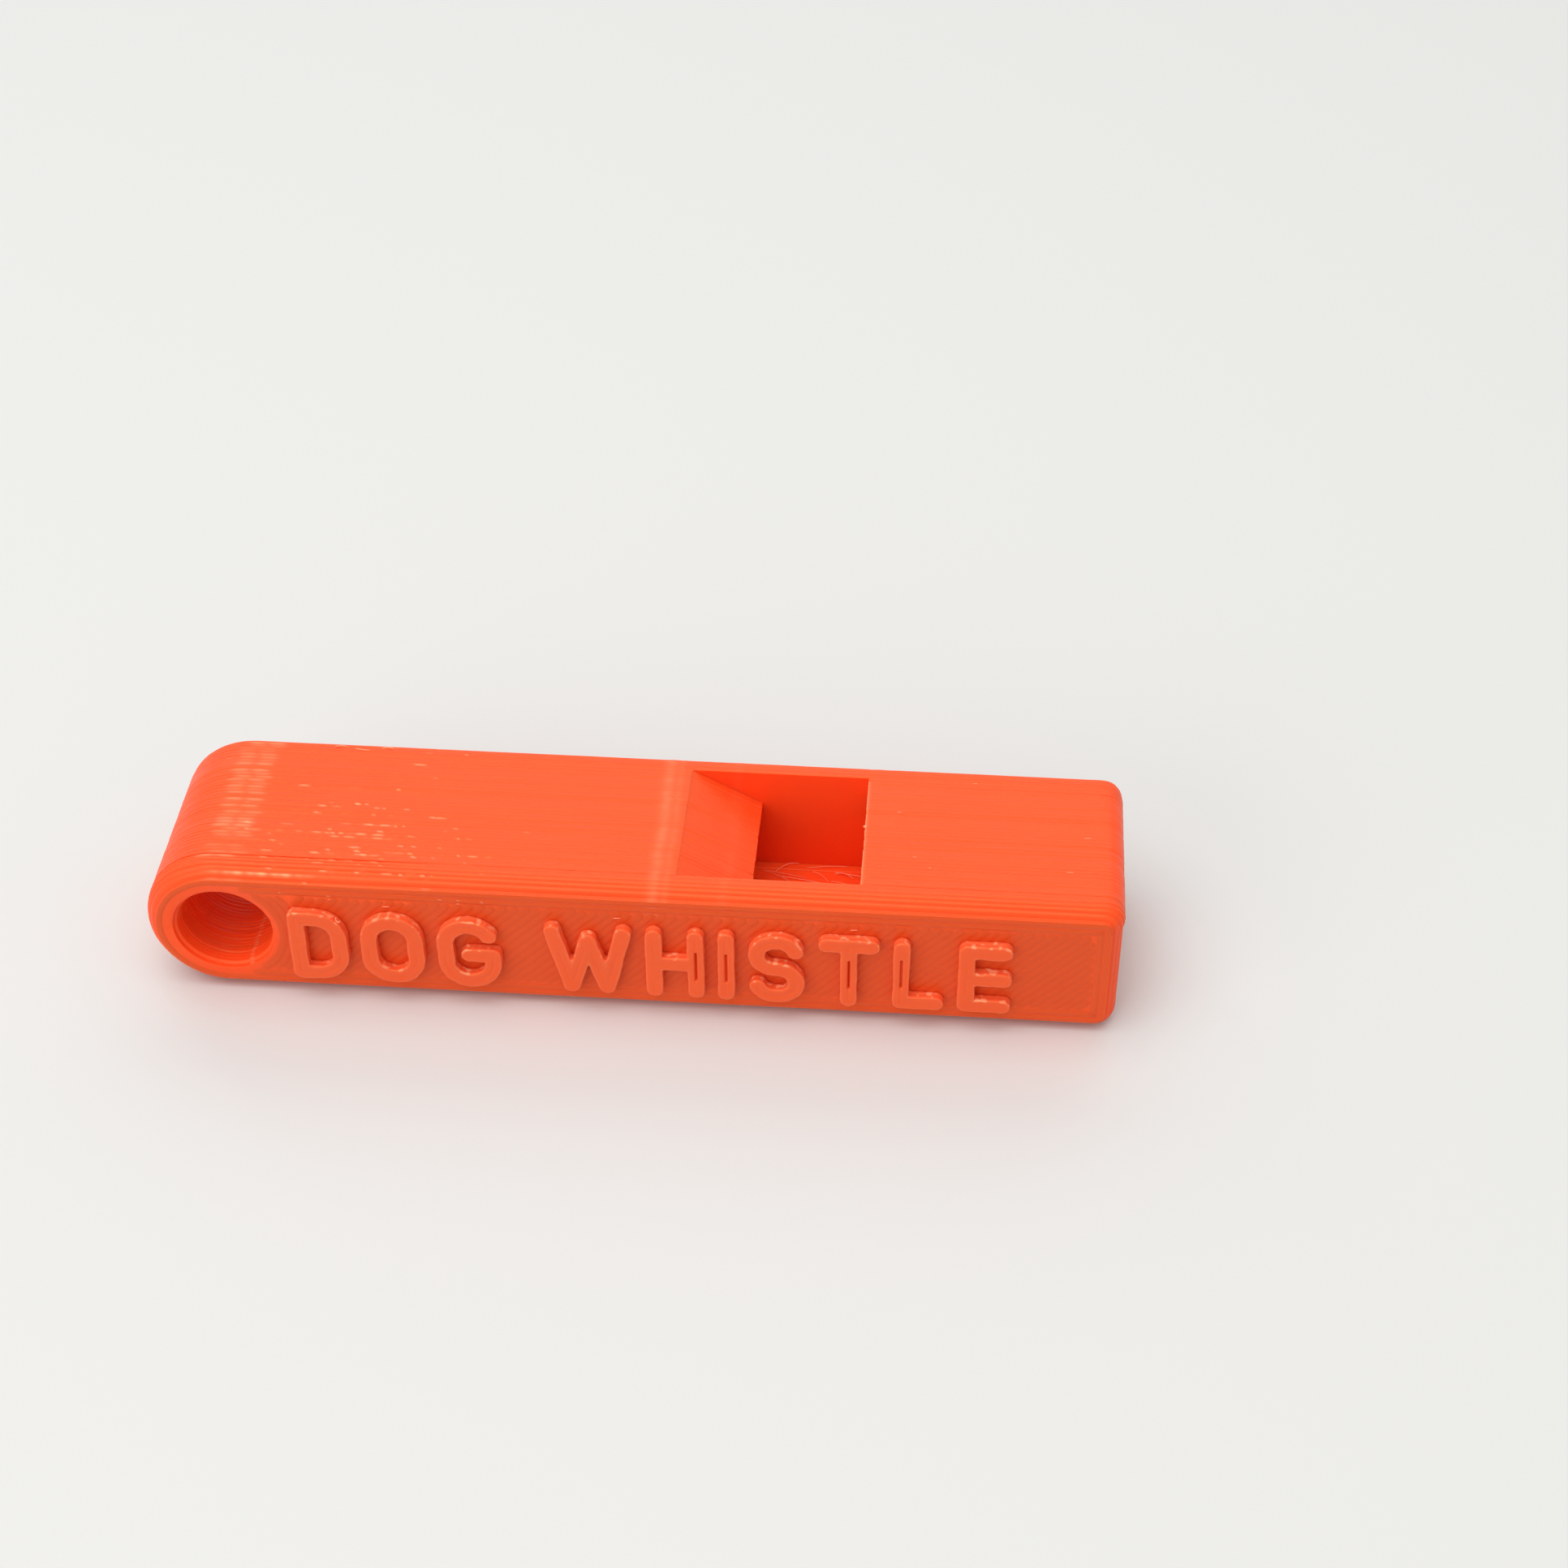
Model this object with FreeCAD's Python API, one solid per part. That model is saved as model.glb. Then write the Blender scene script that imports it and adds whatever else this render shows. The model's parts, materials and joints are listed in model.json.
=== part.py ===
import FreeCAD, Part
import math
import os

# A pealess training whistle, printed in one orange plastic. It is a flat-sided bar with a
# round lanyard end, a resonance chamber with a sound window and a sloping labium on top, and
# a mouthpiece with a thin windway at the other end.
#
# The print is divided where its shape changes job. Two side plates carry the full outline.
# Between them stand the lanyard boss, the chamber's end wall, the floors, the roof, the
# labium blade, the fipple block and the windway roof. Raised letters stand on the front plate.
#
# Millimetres. +X points to the mouthpiece, +Z up, and -Y to the lettered side. The origin is
# at the bottom centre of the whole part, its letters included.

Vec = FreeCAD.Vector

# Driving dimensions
LAYER = 0.28  # height of one printed layer, stacked along Y
BODY_LENGTH = 54.0
BODY_WIDTH = 43 * LAYER
BODY_HEIGHT = 8.8
SIDE_WALL = 5.5 * LAYER
FLOOR = 2.1
ROOF = 1.3
WINDWAY_HEIGHT = 1.6
EDGE_RADIUS = 1.2  # rounding along the outline of both side faces
MOUTH_CORNER = 1.25  # rounding of the mouthpiece end, seen from the side

BORE_CENTRE = 4.5  # from the lanyard end
BORE_RADIUS = 2.6
BORE_FLARE = 0.5
BORE_WALL = 0.9  # boss left between the bore and the chamber's end wall
CHAMBER_END_WALL = 1.2

MOUTHPIECE_LENGTH = 14.4
WINDOW_LENGTH = 6.0
RAMP_LENGTH = 4.0
LABIUM_DEPTH = 2.2  # how far the labium's edge lies below the top
LABIUM_EDGE = 0.35  # thickness of that edge
BLADE_HEEL = 1.3  # length over which the blade's underside rises to the roof

LETTERS = "DOG WHISTLE"
LETTERS_START = 8.3  # from the lanyard end to the first letter
LETTERS_BASE = 1.6  # height of the letters' foot above the bottom
LETTER_HEIGHT = 4.9
LETTER_RELIEF = 2 * LAYER
STROKE = 0.94  # two nozzle widths
LETTER_GAP = 0.72
WORD_GAP = 2.4

# Places that follow from them
TOP = BODY_HEIGHT
X_LANYARD = -BODY_LENGTH / 2
X_MOUTH = BODY_LENGTH / 2
Y_FRONT = (LETTER_RELIEF - BODY_WIDTH) / 2
Y_BACK = Y_FRONT + BODY_WIDTH
Y_CORE_FRONT = Y_FRONT + SIDE_WALL
Y_CORE_BACK = Y_BACK - SIDE_WALL
END_RADIUS = BODY_HEIGHT / 2
X_ROUND = X_LANYARD + END_RADIUS
Z_MIDDLE = BODY_HEIGHT / 2
X_BORE = X_LANYARD + BORE_CENTRE
X_BOSS = X_BORE + BORE_RADIUS + BORE_WALL
X_CHAMBER = X_BOSS + CHAMBER_END_WALL
X_BLOCK = X_MOUTH - MOUTHPIECE_LENGTH
X_LABIUM = X_BLOCK - WINDOW_LENGTH
X_RAMP = X_LABIUM - RAMP_LENGTH
Z_ROOF = TOP - ROOF
Z_WINDWAY = Z_ROOF - WINDWAY_HEIGHT
Z_LABIUM = TOP - LABIUM_DEPTH
Z_BLADE_FOOT = Z_LABIUM - LABIUM_EDGE


# Outlines in the XZ plane and their prisms along Y

def line(x0, z0, x1, z1):
    return Part.LineSegment(Vec(x0, 0, z0), Vec(x1, 0, z1)).toShape()


def arc(x, z, radius, start_deg, end_deg):
    """Arc about (x, z), its angles measured from +X towards +Z."""
    def point(degrees):
        turn = math.radians(degrees)
        return Vec(x + radius * math.cos(turn), 0, z + radius * math.sin(turn))
    return Part.Arc(point(start_deg), point((start_deg + end_deg) / 2), point(end_deg)).toShape()


def prism(edges, y_low, y_high):
    """Solid between y_low and y_high with the closed outline that the edges make."""
    wire = Part.Wire(edges)
    wire.translate(Vec(0, y_low, 0))
    return Part.Face(wire).extrude(Vec(0, y_high - y_low, 0))


def polygon(points):
    ends = points[1:] + points[:1]
    return [line(x0, z0, x1, z1) for (x0, z0), (x1, z1) in zip(points, ends)]


def core(edges):
    """Prism that fills the room between the side plates."""
    return prism(edges, Y_CORE_FRONT, Y_CORE_BACK)


def bore(y_low, y_high):
    """Round hole for the lanyard."""
    return Part.makeCylinder(BORE_RADIUS, y_high - y_low, Vec(X_BORE, y_low, Z_MIDDLE), Vec(0, 1, 0))


# The whistle's body

def whole_outline():
    """Side view: half round at the lanyard end, small corners at the mouthpiece end."""
    x = X_MOUTH - MOUTH_CORNER
    z = TOP - MOUTH_CORNER
    return [
        line(X_ROUND, 0, x, 0),
        arc(x, MOUTH_CORNER, MOUTH_CORNER, -90, 0),
        line(X_MOUTH, MOUTH_CORNER, X_MOUTH, z),
        arc(x, z, MOUTH_CORNER, 0, 90),
        line(x, TOP, X_ROUND, TOP),
        arc(X_ROUND, Z_MIDDLE, END_RADIUS, 90, 270),
    ]


def edges_in_plane(solid, y):
    return [e for e in solid.Edges if all(abs(v.Y - y) < 1e-6 for v in e.Vertexes)]


def side_plate(y_outer, y_inner):
    """One side wall, its outer edge rounded and its lanyard hole flared."""
    y_low, y_high = sorted((y_outer, y_inner))
    plate = prism(whole_outline(), y_low, y_high)
    plate = plate.makeFillet(EDGE_RADIUS, edges_in_plane(plate, y_outer))
    plate = plate.cut(bore(y_low, y_high))
    rim = [e for e in edges_in_plane(plate, y_outer)
           if isinstance(e.Curve, Part.Circle) and abs(e.Curve.Radius - BORE_RADIUS) < 1e-6]
    return plate.makeFillet(BORE_FLARE, rim)


def lanyard_boss():
    """Round end between the plates, pierced for the lanyard."""
    edges = [
        line(X_ROUND, 0, X_BOSS, 0),
        line(X_BOSS, 0, X_BOSS, TOP),
        line(X_BOSS, TOP, X_ROUND, TOP),
        arc(X_ROUND, Z_MIDDLE, END_RADIUS, 90, 270),
    ]
    return core(edges).cut(bore(Y_CORE_FRONT, Y_CORE_BACK))


def box(x0, x1, z0, z1):
    return core(polygon([(x0, z0), (x1, z0), (x1, z1), (x0, z1)]))


def labium_blade():
    """Wedge that slopes down to the edge which splits the air jet."""
    return core(polygon([
        (X_RAMP, TOP),
        (X_RAMP, Z_ROOF),
        (X_RAMP + BLADE_HEEL, Z_BLADE_FOOT),
        (X_LABIUM, Z_BLADE_FOOT),
        (X_LABIUM, Z_LABIUM),
    ]))


def mouthpiece_floor():
    x = X_MOUTH - MOUTH_CORNER
    return core([
        line(X_BLOCK, 0, x, 0),
        arc(x, MOUTH_CORNER, MOUTH_CORNER, -90, 0),
        line(X_MOUTH, MOUTH_CORNER, X_MOUTH, FLOOR),
        line(X_MOUTH, FLOOR, X_BLOCK, FLOOR),
        line(X_BLOCK, FLOOR, X_BLOCK, 0),
    ])


def windway_roof():
    x = X_MOUTH - MOUTH_CORNER
    z = TOP - MOUTH_CORNER
    return core([
        line(X_BLOCK, Z_ROOF, X_MOUTH, Z_ROOF),
        line(X_MOUTH, Z_ROOF, X_MOUTH, z),
        arc(x, z, MOUTH_CORNER, 0, 90),
        line(x, TOP, X_BLOCK, TOP),
        line(X_BLOCK, TOP, X_BLOCK, Z_ROOF),
    ])


# Raised letters. A glyph is a function of its rise, from foot to top along the middle of the
# stroke. It returns its width and its strokes: bars from point to point, and bends, which are
# (x, z, radius, start, end) arcs.

def glyph_d(h):
    w, r = 2.3, 1.3
    bars = [((0, 0), (0, h)), ((0, 0), (w - r, 0)), ((0, h), (w - r, h)), ((w, r), (w, h - r))]
    return w, bars, [(w - r, r, r, -90, 0), (w - r, h - r, r, 0, 90)]


def glyph_o(h):
    w = 2.6
    r = w / 2
    return w, [((0, r), (0, h - r)), ((w, r), (w, h - r))], [(r, r, r, 180, 360), (r, h - r, r, 0, 180)]


def glyph_g(h):
    w = 2.6
    r = w / 2
    middle = 0.48 * h
    bars = [((0, r), (0, h - r)), ((w, r), (w, middle)), ((w, middle), (r, middle))]
    return w, bars, [(r, r, r, 180, 360), (r, h - r, r, 30, 180)]


def glyph_w(h):
    w = 3.9
    steps = [(0, h), (w / 4, 0), (w / 2, 0.85 * h), (3 * w / 4, 0), (w, h)]
    return w, list(zip(steps, steps[1:])), []


def glyph_h(h):
    w = 2.3
    return w, [((0, 0), (0, h)), ((w, 0), (w, h)), ((0, h / 2), (w, h / 2))], []


def glyph_i(h):
    return 0.0, [((0, 0), (0, h))], []


def glyph_s(h):
    w, r = 2.2, h / 4
    bars = [((r, h / 2), (w - r, h / 2)), ((r, h), (w - r, h)), ((r, 0), (w - r, 0))]
    bends = [
        (r, 3 * r, r, 90, 270),
        (w - r, r, r, -90, 90),
        (w - r, 3 * r, r, 20, 90),
        (r, r, r, 200, 270),
    ]
    return w, bars, bends


def glyph_t(h):
    w = 2.4
    return w, [((0, h), (w, h)), ((w / 2, 0), (w / 2, h))], []


def glyph_l(h):
    w = 1.9
    return w, [((0, 0), (0, h)), ((0, 0), (w, 0))], []


def glyph_e(h):
    w = 2.0
    return w, [((0, 0), (0, h))] + [((0, z), (w, z)) for z in (0, h / 2, h)], []


GLYPHS = {
    "d": glyph_d,
    "o": glyph_o,
    "g": glyph_g,
    "w": glyph_w,
    "h": glyph_h,
    "i": glyph_i,
    "s": glyph_s,
    "t": glyph_t,
    "l": glyph_l,
    "e": glyph_e,
}


def disc(x, z):
    return Part.makeCylinder(STROKE / 2, LETTER_RELIEF, Vec(x, Y_FRONT - LETTER_RELIEF, z), Vec(0, 1, 0))


def bar(start, end):
    """Straight stroke with round ends."""
    (x0, z0), (x1, z1) = start, end
    run = math.hypot(x1 - x0, z1 - z0)
    across = (z0 - z1) / run * STROKE / 2
    along = (x1 - x0) / run * STROKE / 2
    corners = [
        (x0 + across, z0 + along),
        (x0 - across, z0 - along),
        (x1 - across, z1 - along),
        (x1 + across, z1 + along),
    ]
    return [prism(polygon(corners), Y_FRONT - LETTER_RELIEF, Y_FRONT), disc(x0, z0), disc(x1, z1)]


def bend(x, z, radius, start_deg, end_deg):
    """Curved stroke with round ends."""
    def point(size, degrees):
        turn = math.radians(degrees)
        return x + size * math.cos(turn), z + size * math.sin(turn)
    outer = radius + STROKE / 2
    inner = radius - STROKE / 2
    edges = [
        arc(x, z, outer, start_deg, end_deg),
        line(*point(outer, end_deg), *point(inner, end_deg)),
        arc(x, z, inner, end_deg, start_deg),
        line(*point(inner, start_deg), *point(outer, start_deg)),
    ]
    band = prism(edges, Y_FRONT - LETTER_RELIEF, Y_FRONT)
    return [band, disc(*point(radius, start_deg)), disc(*point(radius, end_deg))]


def lettering():
    """The letters in a row, one solid each, named by their place and letter."""
    rise = LETTER_HEIGHT - STROKE
    foot = LETTERS_BASE + STROKE / 2
    x = X_LANYARD + LETTERS_START
    solids = {}
    for name in LETTERS.lower():
        if name == " ":
            x += WORD_GAP - LETTER_GAP
            continue
        width, bars, bends = GLYPHS[name](rise)
        strokes = []
        for start, end in bars:
            strokes += bar(start, end)
        for curve in bends:
            strokes += bend(*curve)
        letter = strokes[0].fuse(strokes[1:]).removeSplitter()
        letter.translate(Vec(x + STROKE / 2, 0, foot))
        solids["letter_%02d_%s" % (len(solids) + 1, name)] = letter.Solids[0]
        x += width + STROKE + LETTER_GAP
    return solids


def main():
    nodes = {
        "front_side_plate": side_plate(Y_FRONT, Y_CORE_FRONT),
        "back_side_plate": side_plate(Y_BACK, Y_CORE_BACK),
        "lanyard_boss": lanyard_boss(),
        "chamber_end_wall": box(X_BOSS, X_CHAMBER, 0, TOP),
        "chamber_floor": box(X_CHAMBER, X_BLOCK, 0, FLOOR),
        "chamber_roof": box(X_CHAMBER, X_RAMP, Z_ROOF, TOP),
        "labium_blade": labium_blade(),
        "fipple_block": box(X_BLOCK, X_MOUTH, FLOOR, Z_WINDWAY),
        "windway_roof": windway_roof(),
        "mouthpiece_floor": mouthpiece_floor(),
    }
    nodes.update(lettering())
    os.makedirs("parts", exist_ok=True)
    for name, solid in nodes.items():
        solid.exportStep("parts/%s.step" % name)


main()
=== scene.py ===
import json
import math

import bmesh
import bpy
import numpy as np
from mathutils import Matrix, Vector, noise


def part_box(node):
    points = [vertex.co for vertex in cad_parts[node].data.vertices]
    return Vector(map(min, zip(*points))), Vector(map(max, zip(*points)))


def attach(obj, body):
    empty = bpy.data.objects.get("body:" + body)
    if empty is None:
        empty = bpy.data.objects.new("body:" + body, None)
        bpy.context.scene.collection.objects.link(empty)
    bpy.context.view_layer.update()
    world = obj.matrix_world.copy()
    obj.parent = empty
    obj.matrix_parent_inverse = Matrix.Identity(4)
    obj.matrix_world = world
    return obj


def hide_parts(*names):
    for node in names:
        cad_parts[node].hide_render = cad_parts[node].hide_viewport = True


# A printed training whistle. Every wall is built from its printed layers, which are stacked
# along Y: each layer is a bead with a groove to the next one, so rounded edges come out as
# fine steps. Lengths are in millimetres until a mesh is made, in the frame of the CAD model.

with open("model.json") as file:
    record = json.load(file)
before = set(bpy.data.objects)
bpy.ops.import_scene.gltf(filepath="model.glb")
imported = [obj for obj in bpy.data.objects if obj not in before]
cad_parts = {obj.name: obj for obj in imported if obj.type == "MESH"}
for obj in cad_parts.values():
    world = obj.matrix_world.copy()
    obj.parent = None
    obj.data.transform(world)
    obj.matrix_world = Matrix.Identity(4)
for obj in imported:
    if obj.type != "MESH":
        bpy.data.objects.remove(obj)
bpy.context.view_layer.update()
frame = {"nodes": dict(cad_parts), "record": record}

MM = 0.001
LAYER = 0.28
GROOVE = 0.016  # how deep the line between two layers is
PLATE_GROOVE = 0.030
BORE_GROOVE = 0.035
BEAD_SHARES = (0, 0.15, 0.5, 0.85)  # where along its thickness a layer has points
LEAN = 0.36  # how far a layer's edge leans over to a neighbour that is shifted
POINT_STEP = 0.35  # spacing of points along straight walls
FINE_STEP = 0.11  # the same on the top and in the lanyard hole, which have the finest marks
ARC_STEP = 0.22
FEWEST_ON_ARC = 6
EDGE_RADIUS = 1.2
MOUTH_CORNER = 1.25
BORE_FLARE = 0.5
BLADE_HEEL = 1.3
LABIUM_EDGE = 0.35
NOZZLE = 0.44  # width of one printed line on a face
LINE_RELIEF = 0.016  # how far printed lines stand out on a face
STROKE = 0.94
SHARP_ANGLE = 48  # degrees; edges sharper than this aren't shaded smooth
PARALLEL = 1e-6
FAR = 1e9


def box_mm(node):
    low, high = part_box(node)
    return np.array(low) / MM, np.array(high) / MM


front_low, front_high = box_mm("front_side_plate")
back_low, back_high = box_mm("back_side_plate")
X_LANYARD, Y_FRONT = front_low[0], front_low[1]
X_MOUTH, TOP = front_high[0], front_high[2]
Y_CORE_FRONT, Y_CORE_BACK, Y_BACK = front_high[1], back_low[1], back_high[1]
END_RADIUS = TOP / 2
X_ROUND = X_LANYARD + END_RADIUS
Z_MIDDLE = TOP / 2
X_BOSS = box_mm("chamber_end_wall")[0][0]
X_CHAMBER = box_mm("chamber_end_wall")[1][0]
X_RAMP = box_mm("labium_blade")[0][0]
X_LABIUM = box_mm("labium_blade")[1][0]
Z_BLADE_FOOT = box_mm("labium_blade")[0][2]
X_BLOCK = box_mm("fipple_block")[0][0]
Z_FLOOR, Z_WINDWAY = box_mm("fipple_block")[0][2], box_mm("fipple_block")[1][2]
Z_ROOF = box_mm("windway_roof")[0][2]
bore_mount = next(m for m in frame["record"]["mounts"] if m["name"] == "lanyard_bore")
BORE_RADIUS = bore_mount["dims"]["r_mm"]
X_BORE = bore_mount["pos_m"][0] / MM


# Outlines in the XZ plane, walked with the plastic on the left. A stretch is its points, the
# directions that point out of the plastic, the last of those directions, and whether it is a
# free skin or a joint to the next piece.

def straight(start, end, skin=True, step=POINT_STEP):
    start, end = np.array(start, float), np.array(end, float)
    run = np.linalg.norm(end - start)
    count = max(1, round(run / step))
    share = np.arange(count)[:, None] / count
    along = (end - start) / run
    out = np.array([along[1], -along[0]])
    return start + share * (end - start), np.tile(out, (count, 1)), out, skin


def turn(centre, radius, start_deg, end_deg, step=ARC_STEP):
    sweep = math.radians(end_deg - start_deg)
    count = max(FEWEST_ON_ARC, round(abs(sweep) * radius / step))
    angles = math.radians(start_deg) + sweep * np.arange(count + 1) / count
    radial = np.stack([np.cos(angles), np.sin(angles)], 1)
    out = radial if sweep > 0 else -radial
    return (np.array(centre) + radius * radial)[:-1], out[:-1], out[-1], True


def corner(before, before_skin, after, after_skin):
    """How a corner point moves when both its walls move out by one."""
    if before_skin and after_skin:
        return (before + after) / (1 + before @ after)
    if not before_skin and not after_skin:
        return np.zeros(2)
    out, joint = (before, after) if before_skin else (after, before)
    along = np.array([-joint[1], joint[0]])
    if abs(along @ out) < PARALLEL:  # a joint and a skin in one line
        return np.zeros(2)
    return along / (along @ out)


def outline(*stretches):
    points, moves = [], []
    for index, (where, out, _, skin) in enumerate(stretches):
        _, _, before, before_skin = stretches[index - 1]
        move = out.copy() if skin else np.zeros_like(out)
        move[0] = corner(before, before_skin, out[0], skin)
        points.append(where)
        moves.append(move)
    return np.concatenate(points), np.concatenate(moves)


def whole_outline():
    x, z, c = X_MOUTH - MOUTH_CORNER, TOP - MOUTH_CORNER, MOUTH_CORNER
    return outline(
        straight((X_ROUND, 0), (x, 0)),
        turn((x, c), c, -90, 0),
        straight((X_MOUTH, c), (X_MOUTH, z)),
        turn((x, z), c, 0, 90),
        straight((x, TOP), (X_ROUND, TOP), step=FINE_STEP),
        turn((X_ROUND, Z_MIDDLE), END_RADIUS, 90, 270),
    )


def bore_outline():
    return outline(turn((X_BORE, Z_MIDDLE), BORE_RADIUS, 360, 0, step=FINE_STEP))


# Print texture: how far the plastic's skin lies inside its outline, layer by layer, and how
# pale its scars and painted highlights are. Layers are counted from the front.

random = np.random.default_rng(7)
LAYERS = 64  # more than the whistle has
PLATE_LAYERS = 6  # the front side plate's
GLINT_RIM_LAYERS = range(PLATE_LAYERS, 37)  # the ones whose edge over the windway has a painted glint
TOP_BAND = 0.3  # skin this close to the top counts as the top

MEAN_DEPTH = 0.015
OFFSET_DEPTH = 0.030
layer_offset = OFFSET_DEPTH * random.random(LAYERS) ** 4
layer_groove = 0.4 + 1.6 * random.random(LAYERS) ** 2
WAVES = [(11.0, 0.0030), (3.7, 0.0022), (1.3, 0.0012), (0.8, 0.0006)]  # length, height
WAVE_SLANT = 1.7  # lets the waves run up the walls too
wave_phase = random.random((LAYERS, len(WAVES))) * 2 * math.pi

# Short bright ticks where the nozzle crossed a sparse filling, each with a pit behind it
TICKS_PER_LAYER = 30
TICK_HEIGHT = 0.045
TICK_PLACE = X_LANYARD + 12.6
TICK_SPREAD = 3.4
TICK_LAYER = 11  # the layer with the most of them
TICK_LAYER_SPREAD = 8.0
# Their bumps catch the lamps' light, and their pale colour is a painted highlight
TICK_HIGHLIGHT_PALENESS = 0.7
PIT_DEPTH = 0.7
PIT_PLACE = 1.9  # in lengths of its tick
tick_place = TICK_PLACE + TICK_SPREAD * random.normal(size=(LAYERS, TICKS_PER_LAYER))
tick_length = 0.08 + 0.26 * random.random((LAYERS, TICKS_PER_LAYER)) ** 2
tick_height = TICK_HEIGHT * random.random((LAYERS, TICKS_PER_LAYER)) ** 1.2
crowding = np.exp(-((np.arange(LAYERS) - TICK_LAYER) / TICK_LAYER_SPREAD) ** 2)
layer_ticks = (0.05 + 0.9 * crowding) * random.random(LAYERS) ** 1.7
tick_height *= random.random((LAYERS, TICKS_PER_LAYER)) < layer_ticks[:, None]

RINGING_LENGTH = 1.1
RINGING_HEIGHT = 0.013
RINGING_FADE = 1.3
MOUTH_LIP = 0.09  # the end face lies this far back below the roof
LIP_GAP = 0.05

PALE = 0.42  # how far a broad mark goes from the plastic's colour to its palest
GLEAM_PLACES = (-0.15, 1.0)  # painted highlights: pale bands at the start of the round end, from X_ROUND
GLEAM_WIDTH = 0.50
GLEAM_IN_GROOVE = 0.25
gleam_strength = random.random(LAYERS) ** 1.3
gleam_shift = 0.25 * random.normal(size=LAYERS)

# Raised bands across the top by the ramp, each with a painted highlight: place from X_RAMP, width,
# height, paleness
RIDGES = [(-1.15, 0.32, 0.032, 0.48), (-0.5, 0.18, 0.014, 0.25), (2.7, 0.30, 0.016, 0.10)]
RIDGE_CALM = 60  # the ridges' sideways walk dies down over about this many layers
ridge_walk = np.cumsum(0.05 * random.normal(size=LAYERS)) * np.exp(-np.arange(LAYERS) / RIDGE_CALM)
ridge_strength = 0.55 + 0.45 * random.random(LAYERS)

BORE_SEAM = -62  # degrees; where each layer's ring starts and ends
BORE_SEAM_WIDTH = 0.10
BORE_SEAM_PALENESS = 1.2
BORE_MARGIN = 0.01
bore_seam_shift = 0.05 * random.normal(size=LAYERS)
bore_seam_height = 0.05 * random.random(LAYERS)
bore_offset = 0.030 * random.random(LAYERS) ** 2

# Dark fine lines in the grooves near the lanyard end, above the middle: a few anywhere, and
# one at every groove of the front side plate
LINE_DEPTH = 0.075
LINE_FADE = 3.0
line_strength = random.random(LAYERS) ** 5
line_strength[:PLATE_LAYERS] = 1.0
line_end = X_ROUND + 7 + 3 * random.normal(size=LAYERS)
line_end[:PLATE_LAYERS] = X_ROUND + 12

GLINT_LAYER = 1  # its crest shines at the lanyard end
GLINT_PLACE = X_ROUND + 2.6
GLINT_LENGTH = 2.4
RIM_GLINT_PALENESS = 0.45  # painted glint along the window's edge over the windway
RIM_GLINT_WIDTH = 0.10


def ringing(distance):
    """Ripples that fade away from a sharp corner of the nozzle's path."""
    ripple = np.cos(2 * math.pi * distance / RINGING_LENGTH)
    return RINGING_HEIGHT * np.exp(-distance / RINGING_FADE) * ripple


def wander(points, layer, crest):
    """Inward shift of a layer's skin, and how pale it is from scars and painted highlights, at
    points of its outline.
    crest is 1 along the middle of the layer and less towards its grooves."""
    x, z = points[:, 0], points[:, 1]
    along = x + WAVE_SLANT * z
    depth = np.full(len(points), MEAN_DEPTH + layer_offset[layer])
    for (length, height), phase in zip(WAVES, wave_phase[layer]):
        depth += height * np.sin(2 * math.pi * along / length + phase)
    on_top = z > TOP - TOP_BAND
    depth += ringing(X_MOUTH - x)
    depth += np.where(on_top & (x > X_BLOCK), ringing(x - X_BLOCK), 0)
    lip = np.clip((x - X_MOUTH) / MOUTH_CORNER + 1, 0, 1) * (z < Z_ROOF - LIP_GAP)
    depth += MOUTH_LIP * lip
    scar_and_highlight = np.zeros(len(points))
    above = on_top | ((x > X_RAMP) & (x < X_LABIUM) & (z > Z_BLADE_FOOT + LABIUM_EDGE))
    # Each ridge is raised, and its paleness is a painted highlight
    for place, width, height, highlight_paleness in RIDGES:
        ridge = np.exp(-((x - X_RAMP - place + ridge_walk[layer]) / width) ** 2) * above
        depth -= height * ridge_strength[layer] * ridge
        scar_and_highlight += PALE * highlight_paleness * ridge_strength[layer] * ridge
    # Painted highlights across the round end's top
    for place in GLEAM_PLACES:
        off = x - X_ROUND - place - gleam_shift[layer]
        gleam = gleam_strength[layer] * np.exp(-(off / GLEAM_WIDTH) ** 4) * on_top
        scar_and_highlight += PALE * (GLEAM_IN_GROOVE + (1 - GLEAM_IN_GROOVE) * crest) * gleam
    upper = z > Z_MIDDLE
    fade = np.clip((line_end[layer] - x) / LINE_FADE, 0, 1) * upper
    depth += LINE_DEPTH * line_strength[layer] * (1 - crest) ** 4 * fade
    if layer == GLINT_LAYER:
        broken = 0.55 + 0.45 * np.sin(7 * x) * np.sin(2.3 * x)
        scar_and_highlight += broken * crest * np.exp(-((x - GLINT_PLACE) / GLINT_LENGTH) ** 4) * upper
    # Painted glint on the window's edge
    if layer in GLINT_RIM_LAYERS:
        rim = np.exp(-((x - X_BLOCK) / RIM_GLINT_WIDTH) ** 2) * on_top * (x >= X_BLOCK)
        scar_and_highlight += RIM_GLINT_PALENESS * rim
    for where, length, height in zip(tick_place[layer], tick_length[layer], tick_height[layer]):
        if height > 0:
            tick = np.exp(-((x - where) / length) ** 4) * on_top * crest ** 2
            pit = np.exp(-((x - where - PIT_PLACE * length) / length) ** 2) * on_top
            depth += height * (PIT_DEPTH * pit - tick)
            # Painted highlight on the tick
            scar_and_highlight += TICK_HIGHLIGHT_PALENESS * tick * height / TICK_HEIGHT
    in_bore = np.hypot(x - X_BORE, z - Z_MIDDLE) < BORE_RADIUS + BORE_MARGIN
    around = np.arctan2(z - Z_MIDDLE, x - X_BORE) - math.radians(BORE_SEAM)
    from_seam = around * BORE_RADIUS + bore_seam_shift[layer]
    seam = np.exp(-(from_seam / BORE_SEAM_WIDTH) ** 2) * in_bore
    depth += in_bore * bore_offset[layer] - seam * bore_seam_height[layer]
    scar_and_highlight += PALE * BORE_SEAM_PALENESS * seam * crest
    return np.maximum(depth, 0), np.minimum(scar_and_highlight, 1)


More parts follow.
